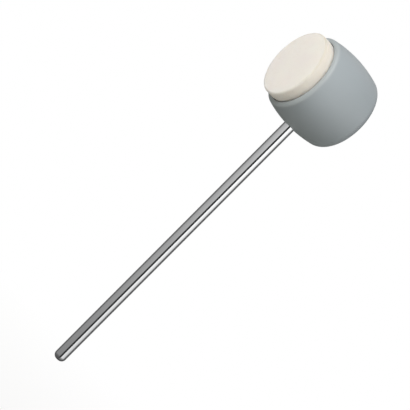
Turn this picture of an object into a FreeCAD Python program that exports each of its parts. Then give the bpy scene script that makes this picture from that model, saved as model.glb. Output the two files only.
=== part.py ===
import FreeCAD, Part
import os
import Sketcher
from FreeCAD import Placement, Rotation, Vector

# Bass drum beater: a straight rod that carries a barrel-shaped head with a pressed felt pad.
# Frame: Z runs up the rod, the strike face looks along -Y, and the origin lies on the rod's axis
# where the rounded lower end gives way to the straight wall. Sizes are in millimetres and degrees.

# Driving sizes
SIZES = {
    "rod_diameter": 8.0,
    "rod_free": 200.0,
    "rod_tip_round": 2.2,
    "rod_seat_depth": 0.25,
    "rod_seat_clearance": 0.1,
    "rod_end_stand": 1.5,
    "spigot_step": 0.5,
    "spigot_clearance": 0.05,
    "spigot_hole_clearance": 0.2,
    "spigot_drop": 2.0,
    "thread_step": 0.5,
    "thread_clearance": 0.1,
    "thread_chamfer": 0.7,
    "head_diameter": 58.0,
    "barrel_radius": 84.0,
    "front_reach": 20.8,
    "back_reach": 23.1,
    "lip_round": 2.7,
    "lip_flat": 0.35,
    "back_round": 6.5,
    "back_wall": 4.5,
    "pad_proud": 7.85,
    "pad_sink": 1.2,
    "pad_edge_round": 1.8,
    "pad_clearance": 0.25,
    "glue_thickness": 0.2,
    "glue_margin": 0.5,
    "carrier_thickness": 2.5,
    "carrier_clearance": 0.15,
    "core_clearance": 0.1,
    "core_wall": 2.5,
    "core_chamfer": 0.8,
    "pillar_wall": 2.25,
    "pillar_top": 4.0,
    "bush_wall": 1.75,
    "bush_clearance": 0.05,
    "washer_rim": 3.0,
    "washer_thickness": 1.6,
    "washer_clearance": 0.2,
    "lock_rim": 2.5,
    "lock_thickness": 1.6,
    "lock_split": 1.2,
    "nut_wall": 2.0,
    "nut_thickness": 5.0,
    "nut_face_margin": 0.3,
    "screw_angle": 26.5,
    "screw_edge": 2.4,
    "screw_diameter": 3.0,
    "screw_length": 12.0,
    "screw_point": 1.5,
    "screw_head_rim": 1.3,
    "screw_slot_width": 0.8,
    "screw_slot_length": 3.0,
    "screw_slot_depth": 1.0,
    "screw_clearance": 0.05,
    "screw_hole_clearance": 0.2,
    "screw_seat_clearance": 0.03,
    "post_wall": 1.95,
    "pilot_spare": 1.5,
}

# Sizes that follow from the driving ones; names ending in _x, _y or _z are places seen from the head's centre
FOLLOWING = {
    "head_radius": "head_diameter / 2",
    "head_height": "rod_free - rod_tip_round + head_radius",
    "barrel_centre": "head_radius - barrel_radius",
    "rim_y": "-front_reach",
    "rim_radius": "barrel_centre + sqrt(barrel_radius ^ 2 - front_reach ^ 2)",
    "rear_radius": "barrel_centre + sqrt(barrel_radius ^ 2 - back_reach ^ 2)",
    "lip_reach": "lip_round / tan(45 deg + asin(front_reach / barrel_radius) / 2)",
    "recess_radius": "rim_radius - lip_reach - lip_flat",
    "bore_end_y": "back_reach - back_wall",
    "rod_radius": "rod_diameter / 2",
    "rod_foot": "-rod_tip_round",
    "rod_shoulder": "rod_free - rod_tip_round + rod_seat_depth",
    "rod_seat_radius": "rod_radius + rod_seat_clearance",
    "rod_seat_z": "rod_seat_depth - head_radius",
    "spigot_radius": "rod_radius - spigot_step",
    "spigot_bore": "spigot_radius + spigot_clearance",
    "spigot_hole": "spigot_radius + spigot_hole_clearance",
    "spigot_end_z": "-spigot_drop",
    "spigot_top": "head_height - spigot_drop",
    "thread_radius": "spigot_radius - thread_step",
    "thread_bore": "thread_radius + thread_clearance",
    "washer_foot_z": "pillar_top",
    "lock_foot_z": "washer_foot_z + washer_thickness",
    "nut_foot_z": "lock_foot_z + lock_thickness",
    "rod_top": "head_height + nut_foot_z + nut_thickness + rod_end_stand",
    "pad_radius": "recess_radius - pad_clearance",
    "pad_face_y": "-front_reach - pad_proud",
    "pad_foot_y": "pad_sink - front_reach",
    "glue_radius": "pad_radius - glue_margin",
    "carrier_radius": "recess_radius - carrier_clearance",
    "carrier_face": "front_reach - pad_sink - glue_thickness",
    "carrier_face_y": "-carrier_face",
    "core_front": "carrier_face - carrier_thickness",
    "core_front_y": "-core_front",
    "core_radius": "recess_radius - core_clearance",
    "core_foot_z": "-core_radius",
    "core_tail_y": "bore_end_y - core_chamfer",
    "core_tail_radius": "core_radius - core_chamfer",
    "cavity_radius": "core_radius - core_wall",
    "cavity_end_y": "bore_end_y - core_wall",
    "cavity_length": "core_front + cavity_end_y",
    "bush_radius": "spigot_radius + bush_wall",
    "bush_seat": "bush_radius + bush_clearance",
    "bush_foot_z": "-sqrt(core_radius ^ 2 - bush_radius ^ 2)",
    "pillar_radius": "bush_seat + pillar_wall",
    "pillar_width": "2 * pillar_radius",
    "pillar_side_x": "-pillar_radius",
    "pillar_height": "core_radius + pillar_top",
    "washer_radius": "thread_radius + washer_rim",
    "washer_bore": "thread_radius + washer_clearance",
    "lock_radius": "thread_radius + lock_rim",
    "lock_split_reach": "2 * lock_radius",
    "lock_split_half": "lock_split / 2",
    "lock_split_low": "-lock_split_half",
    "nut_flat": "thread_radius + nut_wall",
    "nut_corner": "nut_flat / cos(30 deg)",
    "nut_face_radius": "nut_flat - nut_face_margin",
    "nut_bevel": "(nut_corner - nut_face_radius) * tan(30 deg)",
    "nut_bevel_top": "nut_thickness - nut_bevel",
    "screw_radius": "screw_diameter / 2",
    "screw_head_radius": "screw_radius + screw_head_rim",
    "screw_neck": "-screw_head_rim",
    "screw_taper": "screw_point - screw_length",
    "screw_tip": "-screw_length",
    "screw_circle": "carrier_radius - screw_head_radius - screw_edge",
    "screw_right_x": "screw_circle * cos(screw_angle * 1 deg)",
    "screw_left_x": "-screw_right_x",
    "screw_high_z": "screw_circle * sin(screw_angle * 1 deg)",
    "screw_low_z": "-screw_high_z",
    "screw_pass": "screw_radius + screw_hole_clearance",
    "screw_sink": "screw_head_radius + screw_seat_clearance - screw_pass",
    "slot_end": "-screw_slot_length / 2",
    "slot_side": "-screw_slot_width / 2",
    "slot_floor": "-screw_slot_depth",
    "pilot_radius": "screw_radius + screw_clearance",
    "pilot_depth": "screw_length - carrier_thickness + pilot_spare",
    "post_radius": "pilot_radius + post_wall",
    "post_length": "core_front + bore_end_y",
}

ALONG_X = Vector(1, 0, 0)
ALONG_Y = Vector(0, 1, 0)
ALONG_Z = Vector(0, 0, 1)
UPWARD = Rotation()
FORWARD = Rotation(ALONG_X, 90)
BACKWARD = Rotation(ALONG_X, -90)
SCREW_PLACES = [
    ("screw_right_x", "screw_high_z"),
    ("screw_right_x", "screw_low_z"),
    ("screw_left_x", "screw_high_z"),
    ("screw_left_x", "screw_low_z"),
]
AXIS = None
TOUCH = 1e-4

doc = FreeCAD.newDocument("bass_drum_beater")
sheet = doc.addObject("Spreadsheet::Sheet", "Sizes")
formulas = [(alias, "=" + formula) for alias, formula in FOLLOWING.items()]
for row, (alias, content) in enumerate(list(SIZES.items()) + formulas, 1):
    sheet.set(f"A{row}", alias)
    sheet.set(f"B{row}", str(content))
    sheet.setAlias(f"B{row}", alias)
doc.recompute()


def size(alias):
    """Read one value of the sheet; AXIS stands for zero, a point on a sketch axis."""
    return 0.0 if alias is AXIS else float(sheet.get(alias))


def bind(item, **properties):
    """Bind properties of one object to the sheet; a double underscore stands for a dot."""
    for name, alias in properties.items():
        item.setExpression(name.replace("__", "."), f"Sizes.{alias}")


def bind_place(item, **places):
    """Bind coordinates of one object's place to the sheet."""
    bind(item, **{f"Placement__Base__{way}": alias for way, alias in places.items()})


def raise_to_head(item, above=None):
    """Lift a piece drawn around the head's centre to the head's height on the rod."""
    lift = f" + Sizes.{above}" if above else ""
    item.setExpression("Placement.Base.z", "Sizes.head_height" + lift)
    return item


def new_body(name):
    body = doc.addObject("PartDesign::Body", name)
    body.Label = name
    return body


def new_sketch(body, name, role):
    """Start a sketch on one of the body's own origin planes."""
    sketch = body.newObject("Sketcher::SketchObject", name)
    plane = next(item for item in body.Origin.OriginFeatures if item.Role == role)
    sketch.AttachmentSupport = [(plane, "")]
    sketch.MapMode = "FlatFace"
    return sketch


def measure(sketch, kind, *points, to):
    """Add one dimension to a sketch and bind it to the sheet."""
    index = sketch.addConstraint(Sketcher.Constraint(kind, *points, size(to)))
    bind(sketch, **{f"Constraints[{index}]": to})


def hold(sketch, geometry, end, across=AXIS, up=AXIS):
    """Hold one sketch point at sheet values across and up; AXIS puts it on that sketch axis."""
    for kind, axis, alias in (("DistanceX", -2, across), ("DistanceY", -1, up)):
        if alias is AXIS:
            sketch.addConstraint(Sketcher.Constraint("PointOnObject", geometry, end, axis))
        else:
            measure(sketch, kind, -1, 1, geometry, end, to=alias)


def draw_outline(sketch, corners):
    """Draw a closed outline through corners given as pairs of sheet names."""
    points = [Vector(size(across), size(up), 0) for across, up in corners]
    for start, end in zip(points, points[1:] + points[:1]):
        sketch.addGeometry(Part.LineSegment(start, end), False)
    for index, (across, up) in enumerate(corners):
        following = (index + 1) % len(corners)
        sketch.addConstraint(Sketcher.Constraint("Coincident", index, 2, following, 1))
        hold(sketch, index, 1, across, up)


def draw_circle(sketch, radius, across=AXIS, up=AXIS):
    """Draw a circle whose centre and radius come from the sheet."""
    centre = Vector(size(across), size(up), 0)
    circle = sketch.addGeometry(Part.Circle(centre, ALONG_Z, size(radius)), False)
    hold(sketch, circle, 3, across, up)
    measure(sketch, "Radius", circle, to=radius)


def revolve(body, sketch, axis):
    """Turn a sketch once around one of its own axes."""
    turned = body.newObject("PartDesign::Revolution", body.Name + "_turned")
    turned.Profile = sketch
    turned.ReferenceAxis = (sketch, [axis])
    turned.Angle = 360
    doc.recompute()
    return turned


def pad(body, sketch, length):
    """Raise a sketch along its own normal."""
    padded = body.newObject("PartDesign::Pad", body.Name + "_pad")
    padded.Profile = sketch
    bind(padded, Length=length)
    doc.recompute()
    return padded


def pocket_through(body, sketch, reverse=False):
    """Cut a sketch all the way against its own normal, or along it when reversed."""
    pocket = body.newObject("PartDesign::Pocket", sketch.Name + "_cut")
    pocket.Profile = sketch
    pocket.Type = "ThroughAll"
    pocket.Reversed = reverse
    doc.recompute()
    return pocket


def rings(feature, way, station):
    """Name the circular edges centred at one station along a direction, largest first."""
    found = []
    for index, edge in enumerate(feature.Shape.Edges, 1):
        curve = edge.Curve
        if isinstance(curve, Part.Circle) and abs(curve.Center.dot(way) - size(station)) < TOUCH:
            found.append((curve.Radius, f"Edge{index}"))
    return [name for _, name in sorted(found, reverse=True)]


def ease(body, kind, base, edges, **sizes):
    """Round or chamfer named edges of the last feature."""
    eased = body.newObject("PartDesign::" + kind, f"{body.Name}_{kind.lower()}")
    eased.Base = (base, edges)
    bind(eased, **sizes)
    doc.recompute()
    return eased


def cylinder(name, radius, height, turn=UPWARD, **places):
    """Add a plain cylinder whose sizes and base centre come from the sheet."""
    item = doc.addObject("Part::Cylinder", name)
    item.Placement = Placement(Vector(), turn)
    bind(item, Radius=radius, Height=height)
    bind_place(item, **places)
    return item


def box(name, length, width, height, **places):
    """Add a plain box whose sizes and corner come from the sheet."""
    item = doc.addObject("Part::Box", name)
    bind(item, Length=length, Width=width, Height=height)
    bind_place(item, **places)
    return item


def fuse(name, items):
    joined = doc.addObject("Part::MultiFuse", name)
    joined.Shapes = items
    return joined


def combine(kind, name, base, tool):
    """Cut one shape with another, or keep what both hold."""
    result = doc.addObject("Part::" + kind, name)
    result.Base = base
    result.Tool = tool
    return result


def mirror_pair(name, source, normal):
    """Keep a piece together with its mirror image about a plane through the head's centre."""
    image = doc.addObject("Part::Mirroring", name + "_image")
    image.Source = source
    image.Normal = normal
    both = doc.addObject("Part::Compound", name)
    both.Links = [source, image]
    return both


# Rod: rounded foot, full wall up to the head, a spigot through the sleeve and the thread's plain form
def make_rod():
    body = new_body("beater_rod")
    sketch = new_sketch(body, "rod_profile", "XZ_Plane")
    draw_outline(sketch, [
        (AXIS, "rod_foot"),
        ("rod_radius", "rod_foot"),
        ("rod_radius", "rod_shoulder"),
        ("spigot_radius", "rod_shoulder"),
        ("spigot_radius", "spigot_top"),
        ("thread_radius", "spigot_top"),
        ("thread_radius", "rod_top"),
        (AXIS, "rod_top"),
    ])
    turned = revolve(body, sketch, "V_Axis")
    foot = rings(turned, ALONG_Z, "rod_foot")[:1]
    rounded = ease(body, "Fillet", turned, foot, Radius="rod_tip_round")
    top = rings(rounded, ALONG_Z, "rod_top")[:1]
    ease(body, "Chamfer", rounded, top, Size="thread_chamfer")
    return body


# Shell outline: lip, barrel, back, then home along the axis and the straight bore
def draw_shell(sketch):
    lip_inner = Vector(size("rim_y"), size("recess_radius"), 0)
    lip_outer = Vector(size("rim_y"), size("rim_radius"), 0)
    rear_outer = Vector(size("back_reach"), size("rear_radius"), 0)
    rear_axis = Vector(size("back_reach"), 0, 0)
    bore_axis = Vector(size("bore_end_y"), 0, 0)
    bore_inner = Vector(size("bore_end_y"), size("recess_radius"), 0)
    centre = Vector(0, size("barrel_centre"), 0)
    circle = Part.Circle(centre, ALONG_Z, size("barrel_radius"))
    start, stop = [(point - centre).getAngle(ALONG_X) for point in (rear_outer, lip_outer)]
    lip, barrel, rear, spine, floor, bore = sketch.addGeometry([
        Part.LineSegment(lip_inner, lip_outer),
        Part.ArcOfCircle(circle, start, stop),
        Part.LineSegment(rear_outer, rear_axis),
        Part.LineSegment(rear_axis, bore_axis),
        Part.LineSegment(bore_axis, bore_inner),
        Part.LineSegment(bore_inner, lip_inner),
    ], False)
    joints = [(lip, 2, barrel, 2), (barrel, 1, rear, 1), (rear, 2, spine, 1),
              (spine, 2, floor, 1), (floor, 2, bore, 1), (bore, 2, lip, 1)]
    for joint in joints:
        sketch.addConstraint(Sketcher.Constraint("Coincident", *joint))
    hold(sketch, barrel, 3, AXIS, "barrel_centre")
    measure(sketch, "Radius", barrel, to="barrel_radius")
    measure(sketch, "DistanceX", -1, 1, lip, 2, to="rim_y")
    measure(sketch, "DistanceX", -1, 1, rear, 1, to="back_reach")
    hold(sketch, spine, 1, "back_reach", AXIS)
    hold(sketch, floor, 1, "bore_end_y", AXIS)
    hold(sketch, bore, 1, "bore_end_y", "recess_radius")
    hold(sketch, lip, 1, "rim_y", "recess_radius")


# Shell: turned from its outline, then the rounded lip and back, the rod's hole and its shallow seat
def make_shell():
    body = new_body("head_shell")
    sketch = new_sketch(body, "shell_profile", "YZ_Plane")
    draw_shell(sketch)
    turned = revolve(body, sketch, "H_Axis")
    lip = rings(turned, ALONG_Y, "rim_y")[:1]
    lipped = ease(body, "Fillet", turned, lip, Radius="lip_round")
    rear = rings(lipped, ALONG_Y, "back_reach")[:1]
    ease(body, "Fillet", lipped, rear, Radius="back_round")
    hole = new_sketch(body, "rod_hole", "XY_Plane")
    draw_circle(hole, "spigot_hole")
    pocket_through(body, hole)
    seat = new_sketch(body, "rod_seat", "XY_Plane")
    bind(seat, AttachmentOffset__Base__z="rod_seat_z")
    draw_circle(seat, "rod_seat_radius")
    pocket_through(body, seat)
    return raise_to_head(body)


# Core: a cup that fills the shell's bore, with a pillar and web for the rod and a post behind each screw
def make_core():
    blank = new_body("core_blank")
    sketch = new_sketch(blank, "core_profile", "YZ_Plane")
    draw_outline(sketch, [
        ("core_front_y", AXIS),
        ("core_front_y", "core_radius"),
        ("core_tail_y", "core_radius"),
        ("bore_end_y", "core_tail_radius"),
        ("bore_end_y", AXIS),
    ])
    revolve(blank, sketch, "H_Axis")
    cavity = cylinder("core_cavity", "cavity_radius", "cavity_length", FORWARD, y="cavity_end_y")
    kept = [
        cylinder("core_pillar", "pillar_radius", "pillar_height", z="core_foot_z"),
        box("core_web", "pillar_width", "bore_end_y", "pillar_height", x="pillar_side_x", z="core_foot_z"),
    ]
    bores = [cylinder("bush_bore", "bush_seat", "pillar_height", z="core_foot_z")]
    for index, (across, up) in enumerate(SCREW_PLACES, 1):
        kept.append(cylinder(f"core_post_{index}", "post_radius", "post_length", FORWARD,
                             x=across, y="bore_end_y", z=up))
        bores.append(cylinder(f"core_pilot_{index}", "pilot_radius", "pilot_depth", BACKWARD,
                              x=across, y="core_front_y", z=up))
    hollow = combine("Cut", "core_hollow", cavity, fuse("core_kept", kept))
    cup = combine("Cut", "core_cup", blank, hollow)
    return raise_to_head(combine("Cut", "head_core", cup, fuse("core_bores", bores)))


# Sleeve: takes the nut's load between the spigot's end and the washer, so the core isn't crushed
def make_bush():
    body = new_body("rod_bush")
    sketch = new_sketch(body, "bush_profile", "XZ_Plane")
    draw_outline(sketch, [
        ("spigot_bore", "bush_foot_z"),
        ("bush_radius", "bush_foot_z"),
        ("bush_radius", "pillar_top"),
        ("thread_bore", "pillar_top"),
        ("thread_bore", "spigot_end_z"),
        ("spigot_bore", "spigot_end_z"),
    ])
    revolve(body, sketch, "V_Axis")
    return raise_to_head(body)


# Washers and nut, stacked on the sleeve
def make_ring(name, radius, thickness):
    body = new_body(name)
    sketch = new_sketch(body, name + "_ring", "XY_Plane")
    draw_circle(sketch, radius)
    draw_circle(sketch, "washer_bore")
    pad(body, sketch, thickness)
    return body


def make_washer():
    return raise_to_head(make_ring("flat_washer", "washer_radius", "washer_thickness"), "washer_foot_z")


def make_lock_washer():
    body = make_ring("lock_washer", "lock_radius", "lock_thickness")
    split = new_sketch(body, "lock_split_gap", "XY_Plane")
    draw_outline(split, [
        (AXIS, "lock_split_low"),
        ("lock_split_reach", "lock_split_low"),
        ("lock_split_reach", "lock_split_half"),
        (AXIS, "lock_split_half"),
    ])
    pocket_through(body, split, reverse=True)
    return raise_to_head(body, "lock_foot_z")


def make_nut():
    blank = doc.addObject("Part::Prism", "nut_blank")
    blank.Polygon = 6
    bind(blank, Circumradius="nut_corner", Height="nut_thickness")
    bevel = new_body("nut_bevel_form")
    sketch = new_sketch(bevel, "nut_bevel_profile", "XZ_Plane")
    draw_outline(sketch, [
        (AXIS, AXIS),
        ("nut_face_radius", AXIS),
        ("nut_corner", "nut_bevel"),
        ("nut_corner", "nut_bevel_top"),
        ("nut_face_radius", "nut_thickness"),
        (AXIS, "nut_thickness"),
    ])
    revolve(bevel, sketch, "V_Axis")
    bevelled = combine("Common", "nut_bevelled", blank, bevel)
    thread = cylinder("nut_thread", "thread_bore", "nut_thickness")
    return raise_to_head(combine("Cut", "rod_nut", bevelled, thread), "nut_foot_z")


# Carrier: a plate on the core's mouth, with a countersunk hole over each post
def make_carrier():
    body = new_body("pad_carrier")
    sketch = new_sketch(body, "carrier_plate", "XZ_Plane")
    bind(sketch, AttachmentOffset__Base__z="core_front")
    draw_circle(sketch, "carrier_radius")
    for across, up in SCREW_PLACES:
        draw_circle(sketch, "screw_pass", across, up)
    plate = pad(body, sketch, "carrier_thickness")
    holes = rings(plate, ALONG_Y, "carrier_face_y")[1:]
    ease(body, "Chamfer", plate, holes, Size="screw_sink")
    return raise_to_head(body)


# Screws: one countersunk screw with a cross recess, mirrored to the other places
def make_screws():
    blank = new_body("screw_blank")
    sketch = new_sketch(blank, "screw_profile", "XZ_Plane")
    draw_outline(sketch, [
        (AXIS, AXIS),
        ("screw_head_radius", AXIS),
        ("screw_radius", "screw_neck"),
        ("screw_radius", "screw_taper"),
        (AXIS, "screw_tip"),
    ])
    revolve(blank, sketch, "V_Axis")
    slots = [
        box("slot_along", "screw_slot_length", "screw_slot_width", "screw_slot_depth",
            x="slot_end", y="slot_side", z="slot_floor"),
        box("slot_across", "screw_slot_width", "screw_slot_length", "screw_slot_depth",
            x="slot_side", y="slot_end", z="slot_floor"),
    ]
    screw = combine("Cut", "screw", blank, fuse("screw_recess", slots))
    screw.Placement = Placement(Vector(), FORWARD)
    bind_place(screw, x="screw_right_x", y="carrier_face_y", z="screw_high_z")
    pair = mirror_pair("screw_pair", screw, ALONG_X)
    return raise_to_head(mirror_pair("carrier_screws", pair, ALONG_Z))


# Bonding layer and pad
def make_adhesive():
    return raise_to_head(
        cylinder("pad_adhesive", "glue_radius", "glue_thickness", FORWARD, y="carrier_face_y")
    )


def make_pad():
    body = new_body("felt_pad")
    sketch = new_sketch(body, "pad_profile", "YZ_Plane")
    draw_outline(sketch, [
        ("pad_foot_y", AXIS),
        ("pad_foot_y", "pad_radius"),
        ("pad_face_y", "pad_radius"),
        ("pad_face_y", AXIS),
    ])
    turned = revolve(body, sketch, "H_Axis")
    edge = rings(turned, ALONG_Y, "pad_face_y")[:1]
    ease(body, "Fillet", turned, edge, Radius="pad_edge_round")
    return raise_to_head(body)


pieces = [
    make_rod(),
    make_shell(),
    make_core(),
    make_bush(),
    make_washer(),
    make_lock_washer(),
    make_nut(),
    make_carrier(),
    make_screws(),
    make_adhesive(),
    make_pad(),
]
doc.recompute()

for item in doc.Objects:
    if "Invalid" in item.State or "Error" in item.State:
        raise RuntimeError(f"{item.Label} did not compute: {item.State}")
os.makedirs("parts", exist_ok=True)
for piece in pieces:
    if piece.Shape.isNull() or not piece.Shape.isValid() or not piece.Shape.Solids:
        raise RuntimeError(f"{piece.Label} has no valid solid")
    piece.Shape.exportStep(os.path.join("parts", piece.Label + ".step"))
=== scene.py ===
"""Looks of a bass drum beater: plated rod, moulded barrel head and pressed felt pad, in a small studio."""
import logging
import math
from dataclasses import dataclass, field
from enum import Enum
from typing import Optional

import bmesh
import bpy
from mathutils import Matrix, Vector, noise


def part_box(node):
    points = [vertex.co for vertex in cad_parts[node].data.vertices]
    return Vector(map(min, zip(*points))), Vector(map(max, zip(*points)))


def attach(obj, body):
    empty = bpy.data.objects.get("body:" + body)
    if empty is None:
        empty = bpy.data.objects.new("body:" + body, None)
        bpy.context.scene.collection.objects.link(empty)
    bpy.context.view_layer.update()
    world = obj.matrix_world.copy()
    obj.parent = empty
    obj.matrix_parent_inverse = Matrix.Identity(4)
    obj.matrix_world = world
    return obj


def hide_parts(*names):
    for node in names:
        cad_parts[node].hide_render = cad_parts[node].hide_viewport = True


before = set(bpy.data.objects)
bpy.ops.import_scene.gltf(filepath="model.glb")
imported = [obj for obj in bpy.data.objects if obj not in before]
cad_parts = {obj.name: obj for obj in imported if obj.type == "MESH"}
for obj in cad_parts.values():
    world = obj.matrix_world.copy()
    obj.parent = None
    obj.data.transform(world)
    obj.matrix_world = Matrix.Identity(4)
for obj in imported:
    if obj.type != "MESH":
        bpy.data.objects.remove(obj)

LOG = logging.getLogger("beater")
BODY = "root"
MM = 0.001
QUARTER_TURN = math.pi / 2
MATRIX_SIZE = 4
EDGE_SHADE = "edge_shade"
GLOW = "glow"
SHADER = "Principled BSDF"

Colour = tuple[float, float, float]
Place = tuple[float, float, float]
Levels = tuple[float, float, float]
Span = tuple[float, float]

WHITE: Colour = (1.0, 1.0, 1.0)


class Ray(Enum):
    """Outputs of the Light Path node that show a plain background."""

    CAMERA = "Is Camera Ray"
    GLOSSY = "Is Glossy Ray"
    TRANSMISSION = "Is Transmission Ray"


class Panel(Enum):
    """Kinds of studio panel, by how bright the plated rod sees them."""

    SOFTBOX = "softbox"
    GREY_CARD = "grey_card"
    BLACK_FLAG = "black_flag"
    DARK_CLOTH = "dark_cloth"


class Socket(Enum):
    """Kinds of socket on a shared node group."""

    COLOUR = "NodeSocketColor"
    NUMBER = "NodeSocketFloat"


class Operation(Enum):
    """Ways to combine two values in a node tree."""

    ADD = "ADD"
    SUBTRACT = "SUBTRACT"
    MULTIPLY = "MULTIPLY"
    MAXIMUM = "MAXIMUM"


class Graph:
    """A node tree with short calls to add and link its nodes."""

    # Sockets of a mix node that mixes colours, which share their names with its other sockets.
    MIX_FIRST = 6
    MIX_SECOND = 7
    MIX_RESULT = 2

    def __init__(self, tree: bpy.types.NodeTree) -> None:
        """Wrap one node tree.

        Args:
            tree: The tree that nodes are added to.
        """
        self.tree = tree

    def add(self, kind: str, inputs: Optional[dict[str | int, object]] = None,
            **settings: object) -> bpy.types.Node:
        """Add one node.

        Args:
            kind: The node's type, without the ShaderNode prefix.
            inputs: Values or output sockets by input name or index.
            settings: Properties to set on the node itself.

        Returns:
            The new node.
        """
        node = self.tree.nodes.new("ShaderNode" + kind)
        for name, value in settings.items():
            setattr(node, name, value)
        for name, value in (inputs or {}).items():
            self.feed(node.inputs[name], value)
        return node

    def feed(self, socket: bpy.types.NodeSocket, value: object) -> None:
        """Set a socket's value, or link it to an output socket.

        Args:
            socket: The input socket.
            value: A number, a colour or an output socket.
        """
        if isinstance(value, bpy.types.NodeSocket):
            self.tree.links.new(value, socket)
        elif socket.type == "RGBA":
            socket.default_value = (*value, 1.0)
        else:
            socket.default_value = value

    def place(self) -> bpy.types.NodeSocket:
        """Find the place on the object, in its own metres."""
        return self.add("TexCoord").outputs["Object"]

    def cloud(self, where: bpy.types.NodeSocket, scale: object, detail: float,
              roughness: float = 0.5, twist: float = 0.0) -> bpy.types.NodeSocket:
        """Add a cloudy pattern.

        Args:
            where: The socket with the place.
            scale: How fine the pattern is, as a number or a socket.
            detail: How many finer layers it has.
            roughness: How much those layers show.
            twist: How far the pattern is pulled about.

        Returns:
            The pattern's socket, from 0 to 1.
        """
        values = {"Vector": where, "Scale": scale, "Detail": detail, "Roughness": roughness,
                  "Distortion": twist}
        return self.add("TexNoise", values).outputs[0]

    def ramp(self, source: bpy.types.NodeSocket, low: float, high: float,
             start: float, end: float) -> bpy.types.NodeSocket:
        """Map a value from one range to another, held at both ends.

        Args:
            source: The value's socket.
            low: Where the incoming range begins.
            high: Where it ends.
            start: The result at low.
            end: The result at high.

        Returns:
            The socket with the mapped value.
        """
        values = {"Value": source, "From Min": low, "From Max": high, "To Min": start, "To Max": end}
        return self.add("MapRange", values).outputs["Result"]

    def mix(self, factor: object, first: object, second: object) -> bpy.types.NodeSocket:
        """Mix two colours.

        Args:
            factor: How much of the second shows.
            first: The first colour or socket.
            second: The second colour or socket.

        Returns:
            The mixed colour's socket.
        """
        values = {"Factor": factor, self.MIX_FIRST: first, self.MIX_SECOND: second}
        return self.add("Mix", values, data_type="RGBA").outputs[self.MIX_RESULT]

    def combine(self, operation: Operation, first: object, second: object) -> bpy.types.NodeSocket:
        """Combine two values.

        Args:
            operation: What is done with them.
            first: The first value or socket.
            second: The second value or socket.

        Returns:
            The result's socket.
        """
        return self.add("Math", {0: first, 1: second}, operation=operation.value).outputs[0]


class Effects:
    """Shader node groups that several finishes share, each built once."""

    CLOUD_DETAIL = 3.0
    CLOUD_SPAN: Span = (0.3, 0.7)
    SMEAR_DETAIL = 5.0
    SMEAR_ROUGHNESS = 0.6
    SMEAR_TWIST = 0.8
    SMEAR_SPAN: Span = (0.42, 0.72)
    GRAIN_DETAIL = 2.0
    PIT_SOFTNESS = 0.5

    def __init__(self) -> None:
        """Build the groups."""
        self.drift = self._colour_drift()
        self.marks = self._handling_marks()
        self.grain = self._mould_grain()

    def _start(self, name: str, inputs: dict[str, Socket],
               outputs: dict[str, Socket]) -> tuple[Graph, bpy.types.Node, bpy.types.Node]:
        """Start a group with named sockets.

        Args:
            name: The group's name.
            inputs: Socket kind by name.
            outputs: Socket kind by name.

        Returns:
            The group's graph, its input node and its output node.
        """
        tree = bpy.data.node_groups.new(name, "ShaderNodeTree")
        for label, kind in inputs.items():
            tree.interface.new_socket(label, in_out="INPUT", socket_type=kind.value)
        for label, kind in outputs.items():
            tree.interface.new_socket(label, in_out="OUTPUT", socket_type=kind.value)
        return Graph(tree), tree.nodes.new("NodeGroupInput"), tree.nodes.new("NodeGroupOutput")

    def _colour_drift(self) -> bpy.types.NodeTree:
        """Build the slow change of colour that every moulded, plated or pressed surface has.

        Returns:
            The group.
        """
        graph, given, result = self._start(
            "ColourDrift",
            {"Colour": Socket.COLOUR, "Other": Socket.COLOUR,
             "Scale": Socket.NUMBER, "Amount": Socket.NUMBER},
            {"Colour": Socket.COLOUR},
        )
        cloud = graph.cloud(graph.place(), given.outputs["Scale"], self.CLOUD_DETAIL)
        share = graph.ramp(cloud, *self.CLOUD_SPAN, 0.0, 1.0)
        share = graph.combine(Operation.MULTIPLY, share, given.outputs["Amount"])
        mixed = graph.mix(share, given.outputs["Colour"], given.outputs["Other"])
        graph.feed(result.inputs["Colour"], mixed)
        return graph.tree

    def _handling_marks(self) -> bpy.types.NodeTree:
        """Build the faint smears of handling that change how sharply a surface reflects.

        Returns:
            The group.
        """
        graph, given, result = self._start(
            "HandlingMarks",
            {"Clean": Socket.NUMBER, "Smeared": Socket.NUMBER, "Scale": Socket.NUMBER},
            {"Roughness": Socket.NUMBER},
        )
        smear = graph.cloud(graph.place(), given.outputs["Scale"], self.SMEAR_DETAIL,
                            self.SMEAR_ROUGHNESS, self.SMEAR_TWIST)
        share = graph.ramp(smear, *self.SMEAR_SPAN, 0.0, 1.0)
        spread = graph.combine(Operation.SUBTRACT, given.outputs["Smeared"], given.outputs["Clean"])
        added = graph.combine(Operation.MULTIPLY, share, spread)
        rough = graph.combine(Operation.ADD, added, given.outputs["Clean"])
        graph.feed(result.inputs["Roughness"], rough)
        return graph.tree

    def _mould_grain(self) -> bpy.types.NodeTree:
        """Build the fine pitted grain that a mould leaves on plastic.

        Returns:
            The group.
        """
        graph, given, result = self._start(
            "MouldGrain",
            {"Scale": Socket.NUMBER},
            {"Height": Socket.NUMBER},
        )
        where = graph.place()
        fine = graph.cloud(where, given.outputs["Scale"], self.GRAIN_DETAIL)
        values = {"Vector": where, "Scale": given.outputs["Scale"], "Smoothness": self.PIT_SOFTNESS}
        pits = graph.add("TexVoronoi", values, feature="SMOOTH_F1")
        height = graph.combine(Operation.MULTIPLY, fine, pits.outputs["Distance"])
        graph.feed(result.inputs["Height"], height)
        return graph.tree


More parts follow.
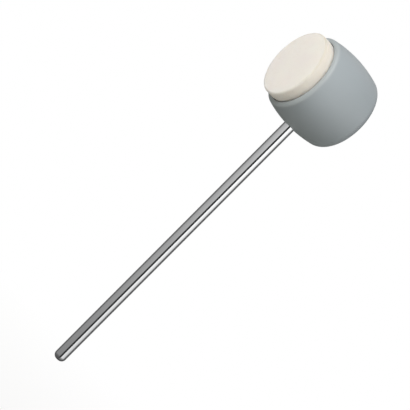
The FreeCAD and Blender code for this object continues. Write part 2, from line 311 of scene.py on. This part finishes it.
@dataclass(frozen=True, kw_only=True)
class Finish:
    """What every finish shares: a name, a colour that drifts and a roughness that handling changes."""

    name: str
    colour: Colour
    other: Colour
    drift_scale: float
    drift_amount: float
    clean: float
    smeared: float
    mark_scale: float

    def start(self, effects: Effects) -> tuple[bpy.types.Material, Graph, bpy.types.Node]:
        """Start a material with the shared colour drift and handling marks.

        Args:
            effects: The shared node groups.

        Returns:
            The material, its graph and its Principled shader.
        """
        material = bpy.data.materials.new(self.name)
        material.use_nodes = True
        graph = Graph(material.node_tree)
        shader = material.node_tree.nodes[SHADER]
        colours = {"Colour": self.colour, "Other": self.other, "Scale": self.drift_scale,
                   "Amount": self.drift_amount}
        drift = graph.add("Group", colours, node_tree=effects.drift)
        smears = {"Clean": self.clean, "Smeared": self.smeared, "Scale": self.mark_scale}
        marks = graph.add("Group", smears, node_tree=effects.marks)
        graph.feed(shader.inputs["Base Color"], drift.outputs["Colour"])
        graph.feed(shader.inputs["Roughness"], marks.outputs["Roughness"])
        return material, graph, shader

    def bump(self, graph: Graph, shader: bpy.types.Node, height: bpy.types.NodeSocket,
             strength: float, depth: float) -> None:
        """Raise a surface by a height.

        Args:
            graph: The material's graph.
            shader: The shader whose normal changes.
            height: The socket with the height.
            strength: The bump's strength.
            depth: The height's full depth in metres.
        """
        values = {"Height": height, "Strength": strength, "Distance": depth}
        graph.feed(shader.inputs["Normal"], graph.add("Bump", values).outputs["Normal"])


@dataclass(frozen=True, kw_only=True)
class PlatedFinish(Finish):
    """Bright plating over ground steel, with faint lines of polishing along the rod."""

    line_scale: float
    line_stretch: float
    line_detail: float
    line_strength: float
    line_depth: float

    def material(self, effects: Effects) -> bpy.types.Material:
        """Build the material.

        Args:
            effects: The shared node groups.

        Returns:
            The material.
        """
        material, graph, shader = self.start(effects)
        shader.inputs["Metallic"].default_value = 1.0
        stretched = graph.add("Mapping", {"Vector": graph.place(), "Scale": (1.0, 1.0, self.line_stretch)})
        lines = graph.cloud(stretched.outputs[0], self.line_scale, self.line_detail)
        self.bump(graph, shader, lines, self.line_strength, self.line_depth)
        return material


@dataclass(frozen=True, kw_only=True)
class MouldedFinish(Finish):
    """Moulded plastic with a fine grain."""

    grain_scale: float
    grain_strength: float = 0.5
    grain_depth: float

    def material(self, effects: Effects) -> bpy.types.Material:
        """Build the material.

        Args:
            effects: The shared node groups.

        Returns:
            The material.
        """
        material, graph, shader = self.start(effects)
        grain = graph.add("Group", {"Scale": self.grain_scale}, node_tree=effects.grain)
        self.bump(graph, shader, grain.outputs["Height"], self.grain_strength, self.grain_depth)
        return material


@dataclass(frozen=True, kw_only=True)
class LipHighlightFinish(MouldedFinish):
    """Moulded plastic whose front lip is painted lighter in colour, a painted highlight; places along the
    head's axis, in metres.
    """

    lip_highlight: Colour
    highlight_front: float
    highlight_end: float

    def material(self, effects: Effects) -> bpy.types.Material:
        """Build the material.

        Args:
            effects: The shared node groups.

        Returns:
            The material.
        """
        material = super().material(effects)
        graph = Graph(material.node_tree)
        tint = material.node_tree.nodes[SHADER].inputs["Base Color"]
        place = graph.add("SeparateXYZ", {"Vector": graph.place()})
        # Painted highlight: the colour turns lighter towards the front lip.
        share = graph.ramp(place.outputs["Y"], self.highlight_front, self.highlight_end, 1.0, 0.0)
        graph.feed(tint, graph.mix(share, tint.links[0].from_socket, self.lip_highlight))
        return material


@dataclass(frozen=True, kw_only=True)
class TurnedFinish(Finish):
    """Turned or rolled metal, with the tool's rings around the rod's axis."""

    ring_scale: float
    ring_twist: float = 1.5
    ring_strength: float = 0.3
    ring_depth: float

    def material(self, effects: Effects) -> bpy.types.Material:
        """Build the material.

        Args:
            effects: The shared node groups.

        Returns:
            The material.
        """
        material, graph, shader = self.start(effects)
        shader.inputs["Metallic"].default_value = 1.0
        values = {"Vector": graph.place(), "Scale": self.ring_scale, "Distortion": self.ring_twist}
        rings = graph.add("TexWave", values, wave_type="RINGS", rings_direction="Z")
        self.bump(graph, shader, rings.outputs["Fac"], self.ring_strength, self.ring_depth)
        return material


@dataclass(frozen=True, kw_only=True)
class FeltFinish(Finish):
    """Pressed wool felt: matted fibres, a few darker ones and a soft sheen, with painted shade on its rim
    and wall.
    """

    fleck: Colour
    fleck_span: Span
    fleck_share: float
    edge: Colour
    rim_shade_strength: float
    fibre_scale: float
    fibre_detail: float
    fibre_roughness: float
    fibre_twist: float
    fibre_strength: float
    fibre_depth: float
    strand_scale: float
    strand_detail: float
    strand_twist: float
    fuzz: float
    sheen: float
    glow: float
    glow_reach: float
    shine: float

    def material(self, effects: Effects) -> bpy.types.Material:
        """Build the material.

        Args:
            effects: The shared node groups.

        Returns:
            The material.
        """
        material, graph, shader = self.start(effects)
        where = graph.place()
        fibres = graph.cloud(where, self.fibre_scale, self.fibre_detail,
                             self.fibre_roughness, self.fibre_twist)
        strands = graph.cloud(where, self.strand_scale, self.strand_detail, twist=self.strand_twist)
        height = graph.combine(Operation.ADD, fibres, strands)
        self.bump(graph, shader, height, self.fibre_strength, self.fibre_depth)
        tint = shader.inputs["Base Color"]
        flecks = graph.ramp(strands, *self.fleck_span, 0.0, self.fleck_share)
        flecked = graph.mix(flecks, tint.links[0].from_socket, self.fleck)
        # Painted shade: a darker, warmer colour is mixed in where the shade layer says, on the rim and the
        # wall.
        edge_shade = graph.add("Attribute", attribute_name=EDGE_SHADE).outputs["Fac"]
        painted_shade = graph.combine(Operation.MULTIPLY, edge_shade, self.rim_shade_strength)
        graph.feed(tint, graph.mix(painted_shade, flecked, self.edge))
        shader.inputs["Diffuse Roughness"].default_value = self.fuzz
        shader.inputs["Sheen Weight"].default_value = self.sheen
        shader.inputs["Subsurface Weight"].default_value = self.glow
        shader.inputs["Subsurface Scale"].default_value = self.glow_reach
        shader.inputs["Subsurface Radius"].default_value = self.colour
        shader.inputs["Specular IOR Level"].default_value = self.shine
        return material


PLATED = PlatedFinish(
    name="bright_plating", colour=(0.86, 0.865, 0.87), other=(0.8, 0.81, 0.825),
    drift_scale=90.0, drift_amount=0.5, clean=0.05, smeared=0.11, mark_scale=140.0,
    line_scale=5200.0, line_stretch=0.02, line_detail=2.0, line_strength=0.2, line_depth=0.004 * MM,
)
SHELL = LipHighlightFinish(
    name="grey_moulding", colour=(0.374, 0.413, 0.431), other=(0.354, 0.393, 0.411),
    drift_scale=55.0, drift_amount=0.6, clean=0.40, smeared=0.48, mark_scale=120.0,
    grain_scale=5200.0, grain_depth=0.03 * MM,
    # Painted highlight: the lighter colour that the front lip takes, and where along the axis it fades.
    lip_highlight=(0.42, 0.455, 0.462), highlight_front=-19.8 * MM, highlight_end=-17.8 * MM,
)
CORE = MouldedFinish(
    name="black_moulding", colour=(0.03, 0.031, 0.033), other=(0.022, 0.022, 0.024),
    drift_scale=70.0, drift_amount=0.6, clean=0.5, smeared=0.6, mark_scale=90.0,
    grain_scale=3600.0, grain_depth=0.04 * MM,
)
BRASS = TurnedFinish(
    name="turned_brass", colour=(0.72, 0.52, 0.24), other=(0.62, 0.43, 0.19),
    drift_scale=160.0, drift_amount=0.5, clean=0.22, smeared=0.34, mark_scale=200.0,
    ring_scale=900.0, ring_depth=0.01 * MM,
)
STEEL = TurnedFinish(
    name="rolled_steel", colour=(0.60, 0.61, 0.62), other=(0.52, 0.53, 0.55),
    drift_scale=180.0, drift_amount=0.5, clean=0.26, smeared=0.4, mark_scale=220.0,
    ring_scale=1100.0, ring_depth=0.01 * MM,
)
GLUE = MouldedFinish(
    name="dried_glue", colour=(0.66, 0.55, 0.34), other=(0.58, 0.47, 0.28),
    drift_scale=180.0, drift_amount=0.7, clean=0.3, smeared=0.5, mark_scale=160.0,
    grain_scale=1500.0, grain_depth=0.05 * MM,
)
FELT = FeltFinish(
    name="pressed_felt", colour=(0.93, 0.882, 0.802), other=(0.915, 0.845, 0.793),
    drift_scale=62.0, drift_amount=0.9, clean=0.9, smeared=1.0, mark_scale=100.0,
    fleck=(0.66, 0.59, 0.48), fleck_span=(0.62, 0.74), fleck_share=0.5,
    # Painted shade: the darker, warmer colour that the rim and wall take, and how strongly.
    edge=(0.70, 0.645, 0.54), rim_shade_strength=0.55,
    fibre_scale=1500.0, fibre_detail=6.0, fibre_roughness=0.68, fibre_twist=2.6,
    fibre_strength=0.55, fibre_depth=0.25 * MM,
    strand_scale=525.0, strand_detail=4.0, strand_twist=4.0,
    fuzz=1.0, sheen=0.12, glow=0.7, glow_reach=6.0 * MM, shine=0.2,
)


@dataclass(frozen=True)
class Ring:
    """One ring of a turned form: its radius, its place along the axis and how much painted shade it
    carries, from 0 to 1.
    """

    radius: float
    along: float
    edge_shade: float = 0.0


class Spin(Enum):
    """Axes that a form is turned about: two directions that span its rings, then the axis itself."""

    ALONG_Y = ((1.0, 0.0, 0.0), (0.0, 0.0, 1.0), (0.0, 1.0, 0.0))
    ALONG_Z = ((1.0, 0.0, 0.0), (0.0, 1.0, 0.0), (0.0, 0.0, 1.0))


@dataclass
class BeaterRod:
    """The plated rod, from its domed foot to the thread inside the head; sizes in metres."""

    node: str = "beater_rod"
    piece: str = "plated_rod"
    slot: str = "plated_rod"
    tip_round: float = 3.3 * MM
    shoulder: float = 198.05 * MM
    spigot_step: float = 0.5 * MM
    spigot_top: float = 224.8 * MM
    thread_step: float = 0.5 * MM
    thread_chamfer: float = 0.7 * MM
    around: int = 96
    tip_steps: int = 16
    crease: float = 30.0
    finish: PlatedFinish = PLATED

    def profile(self) -> list[Ring]:
        """Lay out half the rod's section.

        Returns:
            Rings from the foot's middle round the tip and up to the middle of the thread's end.
        """
        low, high = (Vector(corner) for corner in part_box(self.node))
        radius = (high.x - low.x) / 2
        spigot = radius - self.spigot_step
        thread = spigot - self.thread_step
        rings = [Ring(0.0, low.z)]
        for step in range(self.tip_steps + 1):
            angle = QUARTER_TURN * step / self.tip_steps
            out, rise = math.sin(angle), 1.0 - math.cos(angle)
            rings.append(Ring(radius + self.tip_round * (out - 1.0), low.z + self.tip_round * rise))
        rings.append(Ring(radius, self.shoulder))
        rings.append(Ring(spigot, self.shoulder))
        rings.append(Ring(spigot, self.spigot_top))
        rings.append(Ring(thread, self.spigot_top))
        rings.append(Ring(thread, high.z - self.thread_chamfer))
        rings.append(Ring(thread - self.thread_chamfer, high.z))
        rings.append(Ring(0.0, high.z))
        return rings

    def build(self) -> bpy.types.Object:
        """Turn the section round the rod's axis, with its steps kept crisp.

        Returns:
            The rod.
        """
        mesh = bmesh.new()
        lathe(mesh, self.profile(), Vector(), Spin.ALONG_Z, self.around)
        rod = mesh_object(self.piece, mesh)
        rod.data.set_sharp_from_angle(angle=math.radians(self.crease))
        return rod

    def dress(self, effects: Effects) -> bpy.types.Object:
        """Build the rod, plate it and put it in the place of its solid, whose foot is less domed.

        Args:
            effects: The shared node groups.

        Returns:
            The rod.
        """
        rod = self.build()
        rod.data.materials.append(self.finish.material(effects))
        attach(rod, BODY)
        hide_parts(self.node)
        return rod


@dataclass
class BarrelHead:
    """The moulded shell, the cup inside it and the plate that closes the cup."""

    shell: str = "head_shell"
    inner: tuple[str, ...] = ("head_core", "pad_carrier")
    finish: MouldedFinish = SHELL
    inner_finish: MouldedFinish = CORE

    def dress(self, effects: Effects) -> None:
        """Give the shell and the pieces inside it their plastics.

        Args:
            effects: The shared node groups.
        """
        dress_node(self.shell, self.finish.material(effects))
        dark = self.inner_finish.material(effects)
        for node in self.inner:
            dress_node(node, dark)


@dataclass
class RodFixing:
    """The sleeve, washers, nut and screws hidden inside the head."""

    sleeve: str = "rod_bush"
    steel: tuple[str, ...] = ("flat_washer", "lock_washer", "rod_nut", "carrier_screws")
    sleeve_finish: TurnedFinish = BRASS
    steel_finish: TurnedFinish = STEEL

    def dress(self, effects: Effects) -> None:
        """Give the hidden metal its finishes.

        Args:
            effects: The shared node groups.
        """
        dress_node(self.sleeve, self.sleeve_finish.material(effects))
        bright = self.steel_finish.material(effects)
        for node in self.steel:
            dress_node(node, bright)


@dataclass
class StrikingPad:
    """The pressed felt disc and the glue under it; sizes in metres."""

    node: str = "felt_pad"
    glue: str = "pad_adhesive"
    piece: str = "felt_disc"
    slot: str = "pressed_felt"
    crown: float = 0.2 * MM
    edge_round: float = 1.3 * MM
    # Painted shade on the face's outer band, the rounded rim and the wall, leaned towards the upper side.
    shade_band: float = 0.9 * MM
    face_shade: float = 0.15
    rim_shade: float = 0.65
    wall_shade: float = 0.45
    shade_lean: float = 1.0
    sink: float = 1.2 * MM
    foot_round: float = 2.4 * MM
    foot_draw: float = 0.25 * MM
    foot_seat: float = 0.5 * MM
    unevenness: float = 0.07 * MM
    uneven_scale: float = 420.0
    uneven_fade: float = 1.0
    uneven_spacing: float = 2.0
    uneven_layers: int = 3
    around: int = 224
    across: int = 34
    edge_steps: int = 12
    wall_steps: int = 8
    foot_steps: int = 4
    finish: FeltFinish = FELT
    glue_finish: MouldedFinish = GLUE

    def profile(self) -> list[Ring]:
        """Lay out half the disc's section.

        Returns:
            Rings from the face's middle round the edge and down the wall to the foot's middle.
        """
        low, high = (Vector(corner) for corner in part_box(self.node))
        radius = (high.x - low.x) / 2
        flat = radius - self.edge_round
        wall = low.y + self.crown + self.edge_round
        bend = high.y - self.sink - self.foot_round
        rings = self.face(flat, low.y) + self.edge(flat, wall)
        for step in range(1, self.wall_steps + 1):
            rings.append(Ring(radius, wall + (bend - wall) * step / self.wall_steps, self.wall_shade))
        for step in range(1, self.wall_steps + 1):
            share = step / self.wall_steps
            drawn = radius - self.foot_draw * share ** 2
            rings.append(Ring(drawn, bend + self.foot_round * share, self.wall_shade))
        for step in range(self.foot_steps + 1):
            rings.append(Ring((radius - self.foot_draw) * (1.0 - step / self.foot_steps), high.y))
        return rings

    def face(self, flat: float, front: float) -> list[Ring]:
        """Lay out the slightly crowned face, whose painted shade grows towards its edge.

        Args:
            flat: The radius where the rounded edge begins.
            front: Where the face's middle lies along the axis.

        Returns:
            The face's rings, from the middle outwards.
        """
        rings = []
        for step in range(self.across + 1):
            share = step / self.across
            edge_shade = self.face_shade * max(0.0, 1.0 - flat * (1.0 - share) / self.shade_band)
            rings.append(Ring(flat * share, front + self.crown * share ** 2, edge_shade))
        return rings

    def edge(self, flat: float, wall: float) -> list[Ring]:
        """Lay out the rounded edge, which carries more painted shade than the wall.

        Args:
            flat: The radius where the rounding begins.
            wall: Where the wall begins along the axis.

        Returns:
            The edge's rings, from the face to the wall.
        """
        rings = []
        for step in range(1, self.edge_steps + 1):
            share = step / self.edge_steps
            out, back = math.sin(QUARTER_TURN * share), math.cos(QUARTER_TURN * share)
            edge_shade = self.face_shade + (self.wall_shade - self.face_shade) * share
            edge_shade += self.rim_shade * math.sin(math.pi * share)
            rings.append(Ring(flat + self.edge_round * out, wall - self.edge_round * back, edge_shade))
        return rings

    def build(self) -> bpy.types.Object:
        """Turn the section round the head's axis and unsettle it slightly, as pressed wool is.

        Returns:
            The disc.
        """
        low, high = (Vector(corner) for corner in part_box(self.node))
        centre = (low + high) / 2
        centre.y = 0.0
        mesh = bmesh.new()
        lathe(mesh, self.profile(), centre, Spin.ALONG_Y, self.around)
        self.painted_shade(mesh, centre)
        for vert in mesh.verts:
            if vert.co.y < high.y - self.foot_seat:
                where = vert.co * self.uneven_scale
                lift = noise.fractal(where, self.uneven_fade, self.uneven_spacing, self.uneven_layers)
                vert.co += vert.normal * lift * self.unevenness
        return mesh_object(self.piece, mesh)

    def painted_shade(self, mesh: bmesh.types.BMesh, centre: Vector) -> None:
        """Lean the painted shade towards the upper edge, the side that the lamps light most.

        Args:
            mesh: The disc's mesh, whose rings carry even painted shade so far.
            centre: A point on the disc's axis.
        """
        edge_shade = mesh.verts.layers.float[EDGE_SHADE]
        for vert in mesh.verts:
            out = vert.co - centre
            out.y = 0.0
            vert[edge_shade] *= 1.0 + self.shade_lean * out.normalized().z

    def dress(self, effects: Effects) -> bpy.types.Object:
        """Build the disc, give it felt and put it in the place of its plain solid.

        Args:
            effects: The shared node groups.

        Returns:
            The disc.
        """
        disc = self.build()
        disc.data.materials.append(self.finish.material(effects))
        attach(disc, BODY)
        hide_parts(self.node)
        dress_node(self.glue, self.glue_finish.material(effects))
        return disc


@dataclass(frozen=True)
class Card:
    """One card of the tent; angles in degrees, seen from above.

    An angle of 0 faces the strike face and grows towards the head's right side. Each edge has a glow at
    the tent's lower edge, at the head and at the tent's upper edge, where 1 is white.
    """

    kind: Panel
    start: float
    end: float
    first: Levels
    last: Levels

    def glow(self, angle: float, row: int) -> float:
        """Find the glow at one place.

        Args:
            angle: The place's angle.
            row: Which of the tent's three heights it is at.

        Returns:
            The glow.
        """
        along = (angle - self.start) / (self.end - self.start)
        return self.first[row] + (self.last[row] - self.first[row]) * along


@dataclass
class Tent:
    """A ring of cards with a cloth under it, that only reflections see; sizes in metres."""

    radius: float = 0.4
    heights: Levels = (-0.095, 0.2, 0.95)
    cloth: float = 0.08
    step: float = 2.0
    unseen_by: tuple[str, ...] = ("camera", "diffuse", "transmission", "shadow", "volume_scatter")
    cards: tuple[Card, ...] = (
        Card(Panel.DARK_CLOTH, -145.0, -42.0, (0.14, 0.16, 1.0), (0.14, 0.16, 0.7)),
        Card(Panel.GREY_CARD, -42.0, 57.0, (0.26, 0.42, 0.5), (0.25, 0.64, 0.7)),
        Card(Panel.BLACK_FLAG, 57.0, 90.0, (0.04, 0.03, 0.3), (0.04, 0.03, 0.3)),
        Card(Panel.SOFTBOX, 90.0, 152.0, (0.95, 1.5, 1.0), (0.5, 0.75, 0.6)),
        Card(Panel.DARK_CLOTH, 152.0, 215.0, (0.12, 0.13, 0.5), (0.12, 0.13, 1.0)),
    )

    def build(self) -> bpy.types.Object:
        """Build the tent and hide it from everything but reflections.

        Returns:
            The tent.
        """
        mesh = bmesh.new()
        layer = mesh.verts.layers.float.new(GLOW)
        for card in self.cards:
            self.stand(mesh, layer, card)
        tent = mesh_object("studio_tent", mesh)
        tent.data.materials.append(self.material())
        for ray in self.unseen_by:
            setattr(tent, "visible_" + ray, False)
        return tent

    def stand(self, mesh: bmesh.types.BMesh, layer: bmesh.types.BMLayerItem, card: Card) -> None:
        """Stand one card up, with the cloth from its foot to the tent's middle.

        Args:
            mesh: The tent's mesh.
            layer: The layer that holds the glow.
            card: The card.
        """
        count = round((card.end - card.start) / self.step)
        columns = []
        for step in range(count + 1):
            angle = card.start + (card.end - card.start) * step / count
            turn = math.radians(angle)
            right, front = self.radius * math.sin(turn), self.radius * math.cos(turn)
            column = []
            for row, height in enumerate(self.heights):
                vert = mesh.verts.new((right, -front, height))
                vert[layer] = card.glow(angle, row)
                column.append(vert)
            columns.append(column)
        middle = mesh.verts.new((0.0, 0.0, self.heights[0]))
        middle[layer] = self.cloth
        for first, second in zip(columns, columns[1:]):
            mesh.faces.new((first[0], middle, second[0]))
            for row in range(len(self.heights) - 1):
                mesh.faces.new((first[row], second[row], second[row + 1], first[row + 1]))
        LOG.info("%s stands from %.0f to %.0f degrees", card.kind.value, card.start, card.end)

    def material(self) -> bpy.types.Material:
        """Build the cards' glow.

        Returns:
            The material.
        """
        material, graph = bare_material("tent_cards")
        level = graph.add("Attribute", attribute_name=GLOW).outputs["Fac"]
        glow = graph.add("Emission", {"Strength": level})
        graph.feed(graph.add("OutputMaterial").inputs["Surface"], glow.outputs[0])
        return material


@dataclass(frozen=True)
class Lamp:
    """One soft square lamp; its place is from the frame's origin, in metres, and its power in watts."""

    name: str
    place: Place
    power: float
    colour: Colour = WHITE
    size: float = 0.9


@dataclass
class Studio:
    """Floor, background, lamps, panels and camera; sizes in metres, angles in degrees."""

    floor_height: float = -0.1
    floor_reach: float = 6.0
    floor_parts: int = 2
    floor_white: Colour = (0.95, 0.95, 0.95)
    floor_bounce: Colour = (0.39, 0.39, 0.36)
    ambient: float = 0.02
    ambient_tint: Colour = (0.97, 0.985, 1.0)
    shadow_share: float = 0.2
    shadow_reach: Span = (0.2, 0.8)
    azimuth: float = 60.2
    elevation: float = 2.2
    roll: float = 44.91
    target: Place = (-0.00046, -0.00254, 0.12817)
    distance: float = 1.155
    lens: float = 167.1
    sensor: float = 36.0
    tent: Tent = field(default_factory=Tent)
    lamp_aim: Place = (0.0, 0.0, 0.2)
    lamps: tuple[Lamp, ...] = (
        Lamp("key_lamp", (0.5, -0.7, 0.9), 11.0),
        Lamp("front_fill", (-0.1, -1.0, 0.3), 2.8),
        Lamp("side_fill", (0.9, 0.2, 0.55), 2.6),
        Lamp("low_fill", (0.9, 0.0, 0.0), 0.9),
        Lamp("back_fill", (0.6, 0.8, 0.25), 2.1),
        Lamp("far_fill", (-0.9, 0.5, 0.6), 6.6, (1.0, 0.95, 0.89)),
    )

    def build(self) -> None:
        """Build the whole studio."""
        self.build_world()
        self.build_floor()
        self.tent.build()
        for lamp in self.lamps:
            self.hang(lamp)
        self.build_camera()
        bpy.context.scene.view_settings.view_transform = "Standard"

    def background_share(self, graph: Graph) -> bpy.types.NodeSocket:
        """Find the rays that see the plain background.

        Args:
            graph: The tree that asks.

        Returns:
            A socket that is 1 for camera, glossy and transmission rays.
        """
        path = graph.add("LightPath")
        share = path.outputs[Ray.CAMERA.value]
        for ray in (Ray.GLOSSY, Ray.TRANSMISSION):
            share = graph.combine(Operation.MAXIMUM, share, path.outputs[ray.value])
        return share

    def build_world(self) -> None:
        """Light the scene softly from all round, and show white behind it."""
        world = bpy.data.worlds.new("studio_air")
        bpy.context.scene.world = world
        world.use_nodes = True
        world.node_tree.nodes.clear()
        graph = Graph(world.node_tree)
        soft = graph.add("Background", {"Color": self.ambient_tint, "Strength": self.ambient})
        white = graph.add("Background", {"Color": WHITE, "Strength": 1.0})
        seen = self.background_share(graph)
        both = graph.add("MixShader", {0: seen, 1: soft.outputs[0], 2: white.outputs[0]})
        graph.feed(graph.add("OutputWorld").inputs["Surface"], both.outputs[0])

    def build_floor(self) -> None:
        """Lay a plain white floor that still takes the object's shadow."""
        mesh = bmesh.new()
        bmesh.ops.create_grid(mesh, x_segments=self.floor_parts, y_segments=self.floor_parts,
                              size=self.floor_reach)
        floor = mesh_object("studio_floor", mesh)
        floor.location.z = self.floor_height
        material, graph = bare_material("white_floor")
        seen = self.background_share(graph)
        tone = graph.mix(seen, self.floor_bounce, self.floor_white)
        lit = graph.add("BsdfDiffuse", {"Color": tone})
        white = graph.add("Emission", {"Color": WHITE, "Strength": 1.0})
        far = graph.add("VectorMath", {0: graph.place()}, operation="LENGTH").outputs["Value"]
        plain = graph.ramp(far, *self.shadow_reach, 1.0 - self.shadow_share, 1.0)
        share = graph.combine(Operation.MULTIPLY, seen, plain)
        both = graph.add("MixShader", {0: share, 1: lit.outputs[0], 2: white.outputs[0]})
        graph.feed(graph.add("OutputMaterial").inputs["Surface"], both.outputs[0])
        floor.data.materials.append(material)

    def hang(self, lamp: Lamp) -> None:
        """Hang one soft square lamp that faces the head.

        Args:
            lamp: The lamp.
        """
        data = bpy.data.lights.new(lamp.name, "AREA")
        data.size, data.energy, data.color = lamp.size, lamp.power, lamp.colour
        item = bpy.data.objects.new(lamp.name, data)
        item.location = lamp.place
        aim = Vector(self.lamp_aim) - item.location
        item.rotation_euler = aim.to_track_quat("-Z", "Y").to_euler()
        bpy.context.scene.collection.objects.link(item)

    def build_camera(self) -> None:
        """Set the camera at the photograph's angle, turned so that the rod leans in the frame."""
        data = bpy.data.cameras.new("view")
        data.lens, data.sensor_width = self.lens, self.sensor
        camera = bpy.data.objects.new("view", data)
        turn = (Matrix.Rotation(math.radians(self.azimuth), MATRIX_SIZE, "Z")
                @ Matrix.Rotation(QUARTER_TURN - math.radians(self.elevation), MATRIX_SIZE, "X")
                @ Matrix.Rotation(math.radians(self.roll), MATRIX_SIZE, "Z"))
        back = turn @ Vector((0.0, 0.0, self.distance))
        camera.matrix_world = Matrix.Translation(Vector(self.target) + back) @ turn
        bpy.context.scene.collection.objects.link(camera)
        bpy.context.scene.camera = camera


def lathe(mesh: bmesh.types.BMesh, rings: list[Ring], centre: Vector, spin: Spin, around: int) -> None:
    """Turn half a section about an axis.

    Args:
        mesh: The mesh that gets the form.
        rings: The section's rings, from one end of the axis to the other.
        centre: A point on the axis that the rings' places are counted from.
        spin: The axis's direction.
        around: How many points each ring has.
    """
    across, up, axis = (Vector(way) for way in spin.value)
    # Each point keeps its ring's amount of painted shade, which only the felt's material uses.
    edge_shade = mesh.verts.layers.float.new(EDGE_SHADE)
    rows = []
    for ring in rings:
        count = around if ring.radius > 0.0 else 1
        row = []
        for step in range(count):
            angle = math.tau * step / count
            reach = across * math.cos(angle) + up * math.sin(angle)
            vert = mesh.verts.new(centre + axis * ring.along + reach * ring.radius)
            vert[edge_shade] = ring.edge_shade
            row.append(vert)
        rows.append(row)
    for inner, outer in zip(rows, rows[1:]):
        bridge(mesh, inner, outer)
    bmesh.ops.recalc_face_normals(mesh, faces=mesh.faces)


def bridge(mesh: bmesh.types.BMesh, inner: list[bmesh.types.BMVert],
           outer: list[bmesh.types.BMVert]) -> None:
    """Join two rings of a turned form with faces; a ring of one point is a pole.

    Args:
        mesh: The mesh that gets the faces.
        inner: The first ring.
        outer: The second ring.
    """
    count = max(len(inner), len(outer))
    for step in range(count):
        after = (step + 1) % count
        if len(inner) == 1:
            mesh.faces.new((inner[0], outer[step], outer[after]))
        elif len(outer) == 1:
            mesh.faces.new((inner[step], inner[after], outer[0]))
        else:
            mesh.faces.new((inner[step], inner[after], outer[after], outer[step]))


def mesh_object(name: str, mesh: bmesh.types.BMesh) -> bpy.types.Object:
    """Turn a finished bmesh into a smooth-shaded object in the scene.

    Args:
        name: The object's name.
        mesh: The mesh, which is freed.

    Returns:
        The object.
    """
    data = bpy.data.meshes.new(name)
    mesh.to_mesh(data)
    mesh.free()
    data.shade_smooth()
    item = bpy.data.objects.new(name, data)
    bpy.context.scene.collection.objects.link(item)
    return item


def bare_material(name: str) -> tuple[bpy.types.Material, Graph]:
    """Start a material with an empty node tree.

    Args:
        name: The material's name.

    Returns:
        The material and its graph.
    """
    material = bpy.data.materials.new(name)
    material.use_nodes = True
    material.node_tree.nodes.clear()
    return material, Graph(material.node_tree)


def dress_node(name: str, material: bpy.types.Material) -> None:
    """Give a carried-over solid one material.

    Args:
        name: The solid's node name.
        material: The material that it shows.
    """
    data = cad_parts[name].data
    data.materials.clear()
    data.materials.append(material)
    LOG.info("%s wears %s", name, material.name)


def main() -> None:
    """Dress the beater and build the studio round it."""
    logging.basicConfig(level=logging.INFO, format="%(message)s")
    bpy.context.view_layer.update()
    effects = Effects()
    rod = BeaterRod().dress(effects)
    BarrelHead().dress(effects)
    RodFixing().dress(effects)
    disc = StrikingPad().dress(effects)
    for piece in (rod, disc):
        LOG.info("%s has %d faces", piece.name, len(piece.data.polygons))
    Studio().build()


if __name__ == "__main__":
    main()
